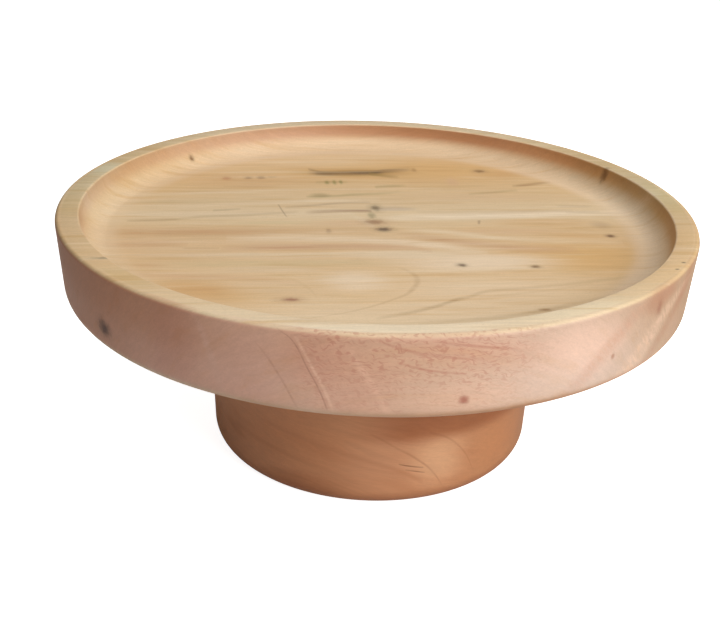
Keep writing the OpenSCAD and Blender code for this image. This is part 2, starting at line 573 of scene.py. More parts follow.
@dataclass(frozen=True)
class PlateWood:
    """Pale, soft-grained timber of the plate: straw-coloured on the face, pinker on its sides, where painted
    shade, sheen and light also lie on the walls.
    """

    grain_turn: float = 6.3
    lean: float = 0.59
    floor_z: float = 109.0
    roughness: float = 0.55
    rim_inner: Point = (138.5, 140.5)
    rim_outer: Point = (146.5, 148.0)
    front_start: Point = (-60, -90)
    cove_foot: Point = (119, 127)
    relief_mm: float = 0.03
    specular: float = 0.35

    patches: tuple[Patch, ...] = (
        # golden wood at the back of the dish
        Patch((42, 92), (54, 25), HONEY, 0.95), Patch((-10, 86), (46, 14), HONEY, 0.85),
        Patch((-62, 72), (42, 12), tone(196, 152, 100), 0.45),
        Patch((-2, 87), (32, 8), tone(164, 120, 46), 0.8),
        Patch((78, 84), (16, 8), AMBER, 0.65),
        Patch((-24, 48), (6, 4), tone(150, 130, 84), 0.6),
        Patch((49, 70), (4, 9), BISCUIT, 0.6),
        # golden wood at the right
        Patch((95, -36), (40, 22), HONEY, 0.8), Patch((84, 6), (28, 7), AMBER, 0.5),
        Patch((96, -50), (26, 18), HONEY, 0.5), Patch((112, 2), (6, 6), tone(178, 148, 112), 0.6),
        Patch((62, -6), (34, 5), BISCUIT, 0.4), Patch((96, -12), (24, 4), AMBER, 0.4, -8),
        # front left
        Patch((-83, -75), (24, 11), AMBER, 0.75, -18), Patch((-60, -84), (22, 10), HONEY, 0.35),
        Patch((-45, -75), (26, 16), STRAW, 0.5), Patch((-106, -47), (10, 3), BISCUIT, 0.5),
        Patch((-45, -46), (60, 5), tone(196, 172, 128), 0.5), Patch((-52, -53), (30, 4), CREAM, 0.4),
        # pale wood in the middle of the front
        Patch((40, -46), (42, 12), PALE, 0.95), Patch((10, -36), (34, 7), CREAM, 0.6),
        Patch((-16, -67), (16, 12), PALE, 0.9), Patch((40, -78), (50, 20), PALE, 0.45),
        Patch((10, -100), (90, 12), PALE, 0.35), Patch((-50, -36), (60, 4), CREAM, 0.5),
        # middle
        Patch((12, 27), (12, 4), tone(176, 154, 132), 0.55),
        Patch((-96, 38), (34, 4), tone(190, 164, 122), 0.5),
        Patch((60, 45), (50, 6), BISCUIT, 0.25), Patch((-50, 7), (24, 3), tone(198, 176, 132), 0.5),
        Patch((-10, 6), (26, 5), BISCUIT, 0.35),
    )
    streaks: tuple[Streak, ...] = (
        # light line right of the middle, and the grain that climbs away to its left
        Streak(
            ((4, 13, 0.2), (20, 14, 0.8), (60, 16, 0.95), (100, 18, 0.9), (134, 19, 0.7)),
            4.6, tone(226, 206, 178),
        ),
        Streak(((-132, 18, 0.5), (-60, 20, 0.5), (-10, 17, 0.6)), 5, CREAM),
        Streak(
            (
                (-114, 11, 0.5), (-98, 12, 0.56), (-92, 14, 0.25), (-85, 16, 0.5), (-68, 18, 0.5),
                (-42, 22, 0.31),
            ),
            1.95, tone(152, 118, 78),
        ),
        Streak(((-31, 22, 0.3), (-22, 23, 0.8), (-10, 24, 0.95), (-2, 24, 0.8)), 2.2, tone(128, 84, 50)),
        Streak(((-78, 25, 0.5), (-66, 27, 0.43)), 1.38, tone(152, 128, 96)),
        Streak(
            ((-40, 30, 0.31), (-27, 33, 0.5), (-14, 36, 0.56), (-2, 37, 0.5)),
            1.72, tone(150, 122, 96),
        ),
        Streak(((-90, 31, 0.3), (-40, 38, 0.5), (0, 42, 0.5)), 2.6, CREAM),
        Streak(
            ((28, 22, 0.19), (60, 22, 0.25), (82, 23, 0.43), (98, 23, 0.31)),
            2.07, tone(172, 146, 122),
        ),
        Streak(((98, 30, 0.4), (108, 30, 0.6), (114, 30, 0.3)), 2.2, tone(176, 148, 116)),
        Streak(((100, 21, 0.25), (108, 21, 0.43), (116, 21, 0.25)), 2.07, tone(170, 144, 112)),
        # reddish brown bands left of the middle
        Streak(
            ((-132, -6, 0.5), (-100, -6, 0.85), (-70, -6, 0.85), (-40, -5, 0.5), (-8, -4, 0.3)),
            6, tone(184, 138, 92),
        ),
        Streak(((-128, -22, 0.5), (-108, -22, 0.6), (-92, -22, 0.3)), 4, tone(188, 142, 104)),
        Streak(((-90, -27, 0.31), (-76, -27, 0.25)), 1.38, tone(170, 124, 88)),
        Streak(
            ((-68, -27, 0.4), (-45, -26, 0.75), (-15, -26, 0.75), (16, -28, 0.4)),
            3.8, tone(186, 142, 110),
        ),
        Streak(
            ((-64, -15, 0.4), (-30, -15, 0.7), (0, -18, 0.8), (20, -23, 0.8), (40, -31, 0.5)),
            4.4, tone(222, 200, 170),
        ),
        Streak(
            ((12, -2, 0.3), (26, -5, 0.7), (42, -10, 0.8), (64, -17, 0.6), (108, -22, 0.4)),
            3.4, tone(220, 198, 164),
        ),
        Streak(
            ((14, -11, 0.3), (28, -17, 0.6), (44, -23, 0.7), (60, -28, 0.7), (86, -31, 0.4)),
            4.4, tone(186, 142, 106),
        ),
        Streak(((-114, -58, 0.4), (-85, -60, 0.8), (-62, -63, 0.6), (-44, -68, 0.3)), 3.4, BISCUIT),
        # back of the dish
        Streak(
            (
                (-25, 86, 0.5), (-20, 85.5, 1.0), (-8, 86, 1.0), (6, 87, 1.0), (15, 90, 0.8),
                (26, 92.5, 0.4),
            ),
            3.6, tone(80, 52, 4),
        ),
        Streak(((-27, 93, 0.5), (-22, 89, 0.6), (-16, 86, 0.6)), 2.4, tone(118, 88, 20)),
        Streak(((6, 85, 0.8), (13, 82, 0.8), (20, 80, 0.3)), 3, tone(134, 104, 26)),
        Streak(((-72, 63, 0.25), (-58, 63, 0.37), (-46, 64, 0.19)), 1.49, tone(170, 126, 78)),
        Streak(
            ((-28, 46, 0.56), (-16, 47, 0.62), (-8, 49, 0.56), (8, 51, 0.37), (16, 53, 0.19)),
            1.95, tone(140, 124, 68),
        ),
        Streak(((-24, 69.5, 0.31), (-16, 70, 0.37), (-9, 70, 0.25)), 2.3, tone(150, 136, 74)),
        Streak(((7, 62, 0.5), (14, 63, 0.56), (22, 64, 0.25)), 2.3, tone(140, 122, 66)),
        Streak(((82, 64, 0.5), (90, 66, 0.9), (102, 70, 0.5)), 2.2, tone(152, 112, 62)),
        Streak(((56, 50, 0.37), (68, 53, 0.56), (80, 56, 0.37)), 2.18, tone(158, 126, 76)),
        Streak(((-120, 49, 0.3), (-80, 53, 0.5), (-30, 57, 0.4), (30, 58, 0.3)), 2.4, CREAM),
        # arcs at the front
        Streak(
            ((-54, -58, 0.12), (-44, -64, 0.25), (-37, -74, 0.31), (-34, -84, 0.2)),
            2.1, tone(188, 154, 108),
        ),
        Streak(
            (
                (-4, -103, 0.31), (8, -98, 0.43), (15, -94, 0.56), (22, -89, 0.56), (30, -85, 0.31),
                (38, -80, 0.31), (62, -75, 0.25), (98, -66, 0.25),
            ),
            1.72, tone(142, 112, 66),
        ),
        Streak(
            (
                (12, -110, 0.25), (30, -107, 0.37), (45, -104, 0.43), (60, -99, 0.5), (75, -93, 0.25),
                (92, -85, 0.31), (110, -76, 0.25),
            ),
            2.07, tone(158, 128, 84),
        ),
        Streak(((44, -84, 0.19), (62, -80, 0.25), (84, -72, 0.19)), 1.15, tone(178, 148, 104)),
        Streak(
            (
                (-104, -36, 0.19), (-97, -18, 0.31), (-90, -7, 0.34), (-82, 3, 0.37), (-75, 8, 0.43),
                (-67, 10.5, 0.43), (-60, 10, 0.31), (-52, 5, 0.12),
            ),
            1.38, tone(158, 120, 76), True,
        ),
    )
    cracks: tuple[Streak, ...] = (
        Streak(((16, -42.8, 0.3), (24, -44.4, 0.5), (33, -46, 0.35)), 0.45, tone(128, 100, 74), True),
        Streak(((4, 51, 0.4), (9, 52, 0.5)), 0.7, tone(140, 108, 80), True),
    )
    knots: tuple[Knot, ...] = (
        Knot((2.5, 28, 0), (2.5, 4.2, 9), tone(104, 84, 50), 0.75, 2.6),
        Knot((-0.5, 17, 0), (2.0, 4.6, 9), tone(140, 126, 88), 0.6, 2.0),
        Knot((0, 7.5, 0), (5.0, 3.6, 9), tone(134, 92, 50), 0.65, 2.4),
        Knot((3.3, -3, 0), (3.6, 2.9, 9), tone(86, 62, 38), 0.85, 2.4),
        Knot((112, -13.5, 0), (2.0, 2.0, 8), tone(96, 58, 20), 0.8, 2.4),
        Knot((67.5, 90, 0), (3.2, 2.7, 8), tone(120, 84, 28), 0.75, 2.6),
        Knot((33, -49.5, 0), (2.2, 1.8, 8), tone(92, 66, 38), 0.8, 2.4),
        Knot((66, -52, 0), (2.2, 1.6, 8), tone(112, 80, 36), 0.75, 2.4),
        Knot((-45, -86, 0), (3.8, 1.8, 8), tone(132, 68, 26), 0.85, 2.8),
        Knot((59, -99, 0), (2.6, 1.5, 8), tone(144, 104, 52), 0.7, 2.4),
        Knot((-60.8, 78, 0), (2.2, 2.4, 8), tone(150, 108, 58), 0.7, 2.0),
        Knot((-54, 78.3, 0), (2.4, 2.6, 8), tone(146, 104, 56), 0.75, 2.0),
        Knot((-48, 79, 0), (3.0, 1.4, 8), tone(160, 122, 72), 0.6),
        Knot((-72.5, 77, 0), (2.6, 2.8, 8), tone(176, 116, 68), 0.6, 2.0),
        Knot((-23.5, -5, 0), (1.3, 3.4, 8), tone(150, 112, 74), 0.5, 2.0),
        Knot((-19, 69.5, 0), (1.2, 3.0, 8), tone(132, 120, 46), 0.7, 2.0),
        Knot((-15, 70, 0), (1.0, 3.4, 8), tone(132, 120, 46), 0.7, 2.0),
        Knot((-11.5, 70.5, 0), (0.9, 3.0, 8), tone(128, 118, 46), 0.7, 2.0),
        Knot((31, 92, 0), (1.4, 3.4, 8), tone(160, 118, 54), 0.6, 2.0),
        Knot((-91.5, 100, 4.5), (1.4, 1.3, 2.2), tone(108, 70, 36), 0.8, 2.2),
        Knot((128, 54, 9), (3.6, 2.2, 5), tone(110, 74, 44), 0.6, 1.8),
        Knot((-121, -71, 13), (6.0, 1.2, 2.0), tone(110, 84, 48), 0.75, 2.0),
        Knot((117, -88, 13), (1.0, 0.8, 1.0), tone(90, 74, 52), 0.8),
        Knot((122.5, -80.5, 13), (1.2, 0.8, 1.0), tone(90, 74, 52), 0.8),
        Knot((17.5, -147, -15), (1.9, 9, 1.9), tone(164, 100, 80), 0.8, 1.8),
        Knot((-120.5, -84, -12), (3.4, 6, 3.6), tone(78, 52, 40), 0.8, 2.0),
        Knot((104, -106, 4.5), (1.6, 9, 3.6), tone(156, 106, 80), 0.7, 2.2),
        Knot((81, -124, -9), (0.9, 7, 1.4), tone(160, 110, 84), 0.6, 1.8),
    )
    # soft areas on the rim, and on the side wall by place along the grain and height
    rim_patches: tuple[Patch, ...] = (
        Patch((-143, 2), (12, 26), tone(204, 168, 118), 0.7),
        Patch((-132, 52), (16, 12), tone(208, 190, 154), 0.7),
        Patch((-112, 88), (14, 10), AMBER, 0.3), Patch((-110, -92), (24, 14), tone(198, 168, 116), 0.5),
        Patch((144, 6), (10, 34), tone(198, 168, 112), 0.5),
        Patch((-20, -143), (80, 8), tone(226, 208, 178), 0.7),
        Patch((60, -128), (60, 12), tone(224, 206, 172), 0.6),
    )
    wall_patches: tuple[Patch, ...] = (
        Patch((-40, 4), (15, 18), tone(196, 138, 116), 0.35, -30),
        Patch((-24, -8), (20, 20), tone(206, 146, 120), 0.3),
        Patch((14, 8), (40, 9), tone(206, 146, 124), 0.25, -12),
        Patch((16, -14), (26, 7), tone(222, 178, 150), 0.4),
        Patch((-62, -6), (14, 26), tone(204, 158, 140), 0.4),
        Patch((-92, 2), (12, 26), tone(178, 116, 92), 0.35),
        # painted sheen: a paler patch towards the right of the side wall's front
        Patch((66, -2), (22, 14), tone(238, 198, 176), 0.5),
        Patch((103, 8), (10, 6), tone(170, 118, 88), 0.5),
        Patch((118, -12), (9, 7), tone(190, 150, 126), 0.3, 40),
        Patch((124, 6), (5, 12), tone(176, 120, 84), 0.5, -35),
    )
    # tints of the walls along the grain: partly the pinker colour of side grain, partly painted shade and
    # light that follow the way each part of a wall faces
    inner_wall_tints_and_painted_light: tuple[tuple[float, Colour], ...] = (
        (-150, (0.95, 0.93, 1.14, 1)), (-110, (0.92, 0.88, 1.02, 1)), (-65, (0.86, 0.76, 0.82, 1)),
        (0, (0.73, 0.53, 0.46, 1)), (70, (0.61, 0.40, 0.31, 1)), (110, (1.02, 0.80, 0.80, 1)),
        (150, (1.14, 0.94, 0.74, 1)),
    )
    # outer wall: painted sheen paler and bluer towards the right front, painted shade at the left and far
    # right, over the pinker side grain
    side_wall_tints_and_painted_light: tuple[tuple[float, Colour], ...] = (
        (-150, (0.91, 0.61, 0.69, 1)), (-115, (0.92, 0.61, 0.66, 1)), (-88, (0.82, 0.56, 0.58, 1)),
        (-54, (0.85, 0.65, 0.70, 1)), (-16, (0.88, 0.71, 0.73, 1)), (22, (0.92, 0.79, 0.86, 1)),
        (59, (0.90, 0.83, 0.98, 1)), (92, (0.73, 0.62, 0.65, 1)), (150, (0.66, 0.60, 0.66, 1)),
    )
    # lines down the front of the side wall, by height and then along the grain
    wall_lines: tuple[Streak, ...] = (
        Streak(
            ((-22, -33, 0.4), (-12, -36.5, 0.55), (-3, -41, 0.55), (8, -46.5, 0.5), (11, -50, 0.3)),
            0.35, tone(136, 88, 70),
        ),
        Streak(
            ((-22, -31, 0.4), (-12, -34.5, 0.6), (-3, -39, 0.6), (8, -44.5, 0.4)),
            0.7, tone(226, 186, 160),
        ),
        Streak(((-20, -45, 0.3), (-3, -54, 0.4), (4, -59, 0.2)), 0.5, tone(156, 110, 90)),
        Streak(
            ((-24, -72, 0.4), (-8, -76, 0.5), (2, -79, 0.4), (10, -82, 0.2)),
            1.6, tone(206, 164, 146),
        ),
        Streak(
            ((-22, -10, 0.3), (-12, -15, 0.5), (-3, -20.5, 0.5), (6, -26, 0.2)),
            1.6, tone(224, 180, 154),
        ),
        Streak(((-24, 86, 0.5), (-14, 95, 0.6), (-3, 106, 0.5), (6, 119, 0.3)), 6.0, tone(226, 190, 162)),
        Streak(((-22, 60, 0.3), (-8, 74, 0.5), (8, 90, 0.4)), 5.0, tone(190, 140, 114)),
        Streak(((-20, 101, 0.4), (-8, 112, 0.5), (6, 124, 0.4)), 4.0, tone(172, 124, 96)),
    )
    # rings across the front of the side wall, along the grain and then by height
    wall_rings: tuple[Streak, ...] = (
        Streak(((-14, 10.2, 0.4), (-3, 6.5, 0.5), (12, 3.6, 0.5), (24, 2, 0.2)), 0.6, ROSE),
        Streak(((-7, 1.6, 0.3), (4, -1.5, 0.6), (16, -3.4, 0.4)), 0.5, ROSE),
        Streak(((6, 10.5, 0.3), (20, 8, 0.7), (36, 5, 0.4)), 0.6, ROSE),
        Streak(((99, 9.5, 0.4), (107, 9.5, 0.7), (114, 9.5, 0.4)), 3.0, tone(176, 128, 98)),
    )

    def material(self) -> bpy.types.Material:
        """Builds the finish.

        Returns:
            The material.
        """
        shader = Shader("plate_wood")
        along, across, height = shader.axes(shader.placed((0, 0, self.floor_z), self.grain_turn))
        wobble = shader.noise(along / 70, across / 26, height / 26, 1.0)
        ripple = shader.noise(along / 22, across / 6, height / 6, 1.0)
        ring = across + height * self.lean + wobble * 0.9 + ripple * 0.5
        figure = Figure(shader, along, ring, height)
        spots = Figure(shader, along, across, height)
        _, _, upward = shader.axes(shader.coordinates().outputs["Normal"])
        wall = upward.ramp(0.80, 0.30)
        reach = (along * along + across * across).root()
        outer = reach.ramp(*self.rim_outer)
        rim = reach.ramp(*self.rim_inner) * (1 - outer)
        front = across.ramp(*self.front_start) * outer

        band = shader.noise(along / 75, ring / 4.5, height / 12, 2.0, 0.55)
        fibre = shader.noise(along / 34, ring / 1.3, height / 4, 3.0, 0.6)
        hair = shader.noise(along / 8, ring / 0.42, height / 0.9, 2.0, 0.6)
        fuzz = shader.noise(along / 0.9, across / 0.9, height / 0.9, 2.0, 0.6)
        wisp = fibre.ramp(-0.6, 0.6, 0.35, 1.0)

        colour = shader.bands(
            ring, -160, 150,
            (-160, tone(206, 178, 146)), (-124, tone(222, 203, 176)), (-108, tone(214, 189, 154)),
            (-90, tone(211, 181, 142)), (-66, tone(211, 181, 142)), (-46, tone(208, 178, 138)),
            (-26, tone(208, 176, 137)), (-14, tone(208, 178, 140)), (-5, tone(207, 176, 135)),
            (4, tone(208, 180, 142)), (13, tone(211, 187, 152)), (25, tone(210, 186, 152)),
            (36, tone(207, 180, 143)), (50, tone(207, 178, 138)), (63, tone(206, 173, 128)),
            (82, tone(206, 171, 126)), (100, tone(211, 178, 134)), (126, tone(216, 186, 150)),
        )
        colour = colour.under(WARMTH, 1.0, Mix.MULTIPLY)
        for patch in self.patches:
            colour = figure.patch(colour, patch, band * 0.16)
        for streak in self.streaks:
            colour = figure.streak(colour, streak, wisp, fibre * 0.35)
        for patch in self.rim_patches:
            colour = spots.patch(colour, patch, band * 0.16, rim)
        colour = colour.under(RIM_TINT, rim * across.ramp(-70, 20), Mix.MULTIPLY)
        # wall tints: partly the pinker side grain, partly painted shade and sheen by the way the wall faces
        wall_tint_and_painted_light = shader.bands(along, -150, 150, *self.inner_wall_tints_and_painted_light)
        wall_tint_and_painted_light = wall_tint_and_painted_light.under(shader.bands(along + height * 0.6, -150, 150, *self.side_wall_tints_and_painted_light), outer)
        colour = colour.under(wall_tint_and_painted_light, wall, Mix.MULTIPLY)
        # painted light: the lower part of the side wall made lighter and bluer, except towards the right
        low_wall_painted_light = colour.under(LOW_WALL_LIGHT_PAINT, 1.0, Mix.MULTIPLY)
        colour = colour.under(low_wall_painted_light, outer * height.ramp(4, -14) * along.ramp(125, 50))
        # pale ring at the foot of the cove: partly lighter grain where the cove is cut, partly a painted
        # highlight
        cove_foot = shader.bands(
            along, -150, 150, (-150, tone(208, 182, 146)), (-100, tone(210, 182, 144)),
            (-60, tone(222, 196, 168)), (30, tone(216, 186, 148)), (90, tone(216, 192, 166)),
            (150, tone(228, 202, 166)),
        )
        foot = (reach + band * 1.5).ramp(*self.cove_foot)
        colour = colour.under(cove_foot, foot * (1 - rim) * (1 - wall) * (1 - outer) * 0.6)
        for patch in self.wall_patches:
            colour = Figure(shader, along, height, across).patch(colour, patch, band * 0.2, front)
        for streak in self.wall_lines:
            colour = Figure(shader, height, along, across).streak(colour, streak, front * wisp)
        for streak in self.wall_rings:
            colour = Figure(shader, along, height, across).streak(colour, streak, front * wisp)
        for streak in self.cracks:
            colour = spots.streak(colour, streak, 1 - wall)
        star = shader.noise(along / 2.2, across / 1.6, height / 2.2, 2.0)
        for knot in self.knots:
            colour = spots.knot(colour, knot, star * 0.3)

        tinted = band.ramp(0.0, 0.7) * fibre.ramp(-0.7, 0.5, 0.3, 1.0) * (1 - wall * 0.5)
        colour = colour.under(BAND_TINT, tinted, Mix.MULTIPLY)
        colour = colour.under(tone(224, 202, 168), band.ramp(-0.1, -0.8) * (1 - wall) * 0.35)
        gain = 1.0 + band * 0.02 + (fibre * 0.09 + hair * 0.075 + fuzz * 0.06) * (1 - wall * 0.25)
        colour = colour.times(gain)
        shear = height + along * 0.16 + wobble * 2.5 + ripple * 0.8
        curl = shader.noise(along / 4, across / 4, height / 3.5, 1.0)
        pores = shader.noise(along / 2.6, (shear + curl * 1.6) / 0.75, across / 2.6, 1.0).ramp(0.0, 0.5)
        dense = along.ramp(-50, -38) * along.ramp(66, 20) * height.ramp(-24, 6, 0.35, 1.0)
        colour = colour.under(ROSE, pores * front * dense * (0.2 + wisp * 0.33))
        flecks = shader.cells(along / 2.6, ring / 0.7, height / 2.0).ramp(0.26, 0.10)
        colour = colour.under(tone(150, 112, 70), flecks * fibre.ramp(-0.1, 0.6) * (1 - wall) * 0.35)
        relief = fibre * 0.4 + hair * 0.5 - pores * front * dense * 0.6 - flecks * 0.6
        return shader.finish(
            colour, relief, fibre * 0.04 + self.roughness, self.relief_mm, Specular_IOR_Level=self.specular
        )


@dataclass(frozen=True)
class DrumWood:
    """Warmer, orange-brown timber of the drum, with painted light and shade by side, the plate's painted
    shadow and painted shade on its rounded foot.
    """

    roughness: float = 0.5

    # colour from left to right: partly the drum's own, partly painted light lightening the left side and
    # painted shade darkening the right
    tints_and_painted_light: tuple[tuple[float, Colour], ...] = (
        (-82, tone(226, 164, 124)), (-52, tone(208, 146, 108)), (-27, tone(196, 136, 96)),
        (0, tone(196, 139, 101)), (30, tone(196, 139, 100)), (52, tone(188, 132, 91)),
        (70, tone(176, 121, 82)), (82, tone(178, 122, 84)),
    )
    # by place from left to right and by height
    patches: tuple[Patch, ...] = (
        Patch((30, 25), (15, 15), tone(216, 166, 126), 0.85, -40),
        Patch((2, 24), (24, 9), tone(202, 148, 112), 0.4),
        Patch((-32, 30), (30, 14), tone(190, 126, 84), 0.35),
        Patch((62, 28), (14, 24), tone(196, 132, 86), 0.5),
        Patch((10, 34), (20, 4), tone(206, 152, 114), 0.4),
        Patch((-30, 9), (22, 7), tone(160, 100, 64), 0.6),
    )
    streaks: tuple[Streak, ...] = (
        Streak(
            ((2, 39, 0.2), (12, 33, 0.3), (22, 26, 0.4), (30, 17, 0.4), (33, 12, 0.2)),
            0.7, tone(150, 96, 62),
        ),
        Streak(((28, 39, 0.2), (36, 34, 0.35), (44, 24, 0.4), (48, 15, 0.2)), 0.7, tone(158, 102, 66)),
        Streak(((-44, 36, 0.3), (-20, 31, 0.4), (4, 25, 0.4), (20, 17, 0.4)), 1.4, tone(176, 118, 82)),
        Streak(((-60, 26, 0.3), (-34, 22, 0.4), (-8, 15, 0.3)), 1.4, tone(180, 120, 82)),
        Streak(((14, 24.5, 0.5), (18, 23.2, 0.8), (24, 21.5, 0.5)), 0.4, tone(120, 76, 50)),
        Streak(((17, 21.0, 0.4), (21, 19.8, 0.7), (25, 18.6, 0.4)), 0.35, tone(124, 80, 54)),
    )

    def material(self) -> bpy.types.Material:
        """Builds the finish.

        Returns:
            The material.
        """
        shader = Shader("drum_wood")
        along, across, height = shader.axes(shader.placed((0, 0, 0)))
        wobble = shader.noise(along / 40, across / 40, height / 16, 1.0)
        ring = height + along * 0.28 + wobble * 3.0
        band = shader.noise(along / 55, across / 30, ring / 5.5, 2.0)
        fibre = shader.noise(along / 26, across / 3, ring / 1.5, 3.0, 0.6)
        hair = shader.noise(along / 7, across / 0.7, height / 0.5, 2.0, 0.6)
        figure = Figure(shader, along, height + wobble * 0.8, across)
        front = across.ramp(-12, -34)
        # colour across the drum, partly painted light and shade by side
        colour = shader.bands(along, -82, 82, *self.tints_and_painted_light)
        colour = colour.under(tone(176, 116, 78), band.ramp(0.0, 0.8) * 0.35)
        colour = colour.under(tone(208, 152, 112), band.ramp(-0.1, -0.8) * 0.35)
        for patch in self.patches:
            colour = figure.patch(colour, patch, band * 0.2, front)
        for streak in self.streaks:
            colour = figure.streak(colour, streak, front * fibre.ramp(-0.8, 0.5, 0.4, 1.0))
        # painted shadow of the plate: darker and redder at the top of the drum, towards the right front
        painted_plate_shadow = height.ramp(32, 40) * along.ramp(-14, 20) * across.ramp(50, -45)
        colour = colour.under(PLATE_SHADOW_PAINT, painted_plate_shadow, Mix.MULTIPLY)
        # painted shade along the drum's rounded foot
        colour = colour.under(FOOT_SHADE_PAINT, height.ramp(11, 3) * height.ramp(-0.5, 0.5), Mix.MULTIPLY)
        colour = colour.times(1.0 + band * 0.03 + fibre * 0.08 + hair * 0.05)
        relief = fibre * 0.5 + hair * 0.5
        return shader.finish(colour, relief, fibre * 0.04 + self.roughness, 0.02, Specular_IOR_Level=0.35)


@dataclass(frozen=True)
class DowelWood:
    """Pale beech of the fluted centre dowel, its grain along the dowel."""

    def material(self) -> bpy.types.Material:
        """Builds the finish.

        Returns:
            The material.
        """
        shader = Shader("dowel_wood")
        x, y, z = shader.axes(shader.placed((0, 0, 0)))
        fibre = shader.noise(x / 0.7, y / 0.7, z / 14, 3.0, 0.6)
        flecks = shader.cells(x / 1.1, y / 1.1, z / 3.2).ramp(0.28, 0.12)
        colour = shader.paint(tone(216, 184, 142)).under(tone(192, 150, 106), fibre.ramp(0.0, 0.9) * 0.6)
        colour = colour.under(tone(160, 112, 74), flecks * 0.5)
        return shader.finish(colour, fibre, fibre * 0.05 + 0.6, 0.03, Specular_IOR_Level=0.3)


@dataclass(frozen=True)
class ScrewSteel:
    """Yellow zinc plate on the steel screws."""

    def material(self) -> bpy.types.Material:
        """Builds the finish.

        Returns:
            The material.
        """
        shader = Shader("screw_steel")
        x, y, z = shader.axes(shader.placed((0, 0, 0)))
        haze = shader.noise(x / 3, y / 3, z / 5, 3.0, 0.6)
        scuff = shader.noise(x / 0.5, y / 0.5, z / 0.9, 2.0, 0.6)
        colour = shader.paint(tone(214, 186, 118)).under(tone(196, 170, 150), haze.ramp(0.0, 0.9) * 0.6)
        colour = colour.under(tone(168, 160, 146), scuff.ramp(0.5, 1.1) * 0.7)
        return shader.finish(colour, scuff, haze * 0.08 + 0.34, 0.01, Metallic=1.0)


# ---------------------------------------------------------------------------------------------
# Turning and joinery
# ---------------------------------------------------------------------------------------------


@dataclass(frozen=True)
class Corner:
    """A corner of a half section: radius from the axis, height, and how far it is rounded."""

    radius: float
    height: float
    rounding: float = 0.0
    steps: int = 8


def rounded(corners: Sequence[Corner]) -> list[Point]:
    """Rounds the corners of an open half section.

    Args:
        corners: the corners in order; the first and the last are left sharp.

    Returns:
        The points of the rounded section, as (radius, height).
    """
    points: list[Point] = []
    for index, corner in enumerate(corners):
        here = Vector((corner.radius, corner.height))
        if not corner.rounding or index in (0, len(corners) - 1):
            points.append(tuple(here))
            continue
        before, after = (
            (Vector((c.radius, c.height)) - here).normalized()
            for c in (corners[index - 1], corners[index + 1])
        )
        half = before.angle(after) / 2
        centre = here + (before + after).normalized() * corner.rounding / math.sin(half)
        reach = corner.rounding / math.tan(half)
        start, end = here + before * reach - centre, here + after * reach - centre
        sweep = start.angle_signed(end)
        for step in range(corner.steps + 1):
            spoke = Matrix.Rotation(-sweep * step / corner.steps, 2) @ start
            points.append(tuple(centre + spoke))
    return points


def deselect() -> None:
    """Leaves object mode with nothing selected."""
    if bpy.context.object and bpy.context.object.mode != "OBJECT":
        bpy.ops.object.mode_set(mode="OBJECT")
    bpy.ops.object.select_all(action="DESELECT")


def turned(name: str, section: Sequence[Point], steps: int) -> bpy.types.Object:
    """Turns a half section about the vertical axis, as on a lathe.

    Args:
        name: the new object's name.
        section: the section's points, as (radius, height), from axis to axis.
        steps: how many faces go round the piece.

    Returns:
        The closed piece.
    """
    deselect()
    radius, height = (value * MM for value in section[0])
    bpy.ops.mesh.primitive_plane_add(size=MM, location=(0, 0, 0))
    piece = bpy.context.object
    piece.name = piece.data.name = name
    bpy.ops.object.mode_set(mode="EDIT")
    bpy.ops.mesh.select_all(action="SELECT")
    bpy.ops.mesh.merge(type="CENTER")
    bpy.ops.transform.translate(value=(radius, 0, height))
    for (r0, z0), (r1, z1) in zip(section, section[1:]):
        move = ((r1 - r0) * MM, 0, (z1 - z0) * MM)
        bpy.ops.mesh.extrude_vertices_move(TRANSFORM_OT_translate={"value": move})
    bpy.ops.mesh.select_all(action="SELECT")
    bpy.ops.mesh.spin(steps=steps, angle=math.tau, center=(0, 0, 0), axis=(0, 0, 1))
    bpy.ops.mesh.select_all(action="SELECT")
    bpy.ops.mesh.remove_doubles(threshold=1e-6)
    bpy.ops.mesh.normals_make_consistent(inside=False)
    bpy.ops.object.mode_set(mode="OBJECT")
    return piece


def copied(cutter: bpy.types.Object, places: Iterable[Point]) -> list[bpy.types.Object]:
    """Sets copies of a cutter at several places, each with its own mesh, and clears the first away.

    Args:
        cutter: the cutter, turned on the axis.
        places: where the copies go, as (x, y) in millimetres.

    Returns:
        The copies.
    """
    copies = []
    for x, y in places:
        deselect()
        cutter.select_set(True)
        bpy.ops.object.duplicate(linked=False)
        copy = bpy.context.selected_objects[0]
        copy.location = (x * MM, y * MM, 0)
        copies.append(copy)
    bpy.data.objects.remove(cutter)
    return copies


def bore(piece: bpy.types.Object, cutters: Sequence[bpy.types.Object]) -> None:
    """Cuts holes into a piece and clears the cutters away.

    Args:
        piece: the piece that gets the holes.
        cutters: the shapes of the holes, where they go.
    """
    deselect()
    for cutter in cutters:
        cutter.select_set(True)
    bpy.context.view_layer.objects.active = cutters[0]
    bpy.ops.object.join()
    joined = bpy.context.object
    deselect()
    bpy.context.view_layer.objects.active = piece
    piece.select_set(True)
    modifier = piece.modifiers.new("bore", "BOOLEAN")
    modifier.operation, modifier.solver, modifier.object = "DIFFERENCE", "EXACT", joined
    bpy.ops.object.modifier_apply(modifier=modifier.name)
    bpy.data.objects.remove(joined)


def smooth(piece: bpy.types.Object, angle: float = 30.0) -> None:
    """Shades a piece smooth, except where faces meet at more than angle degrees."""
    deselect()
    piece.select_set(True)
    bpy.context.view_layer.objects.active = piece
    bpy.ops.object.shade_smooth_by_angle(angle=math.radians(angle))


def dress(piece: bpy.types.Object, material: bpy.types.Material) -> None:
    """Gives a piece one material all over."""
    piece.data.materials.clear()
    piece.data.materials.append(material)


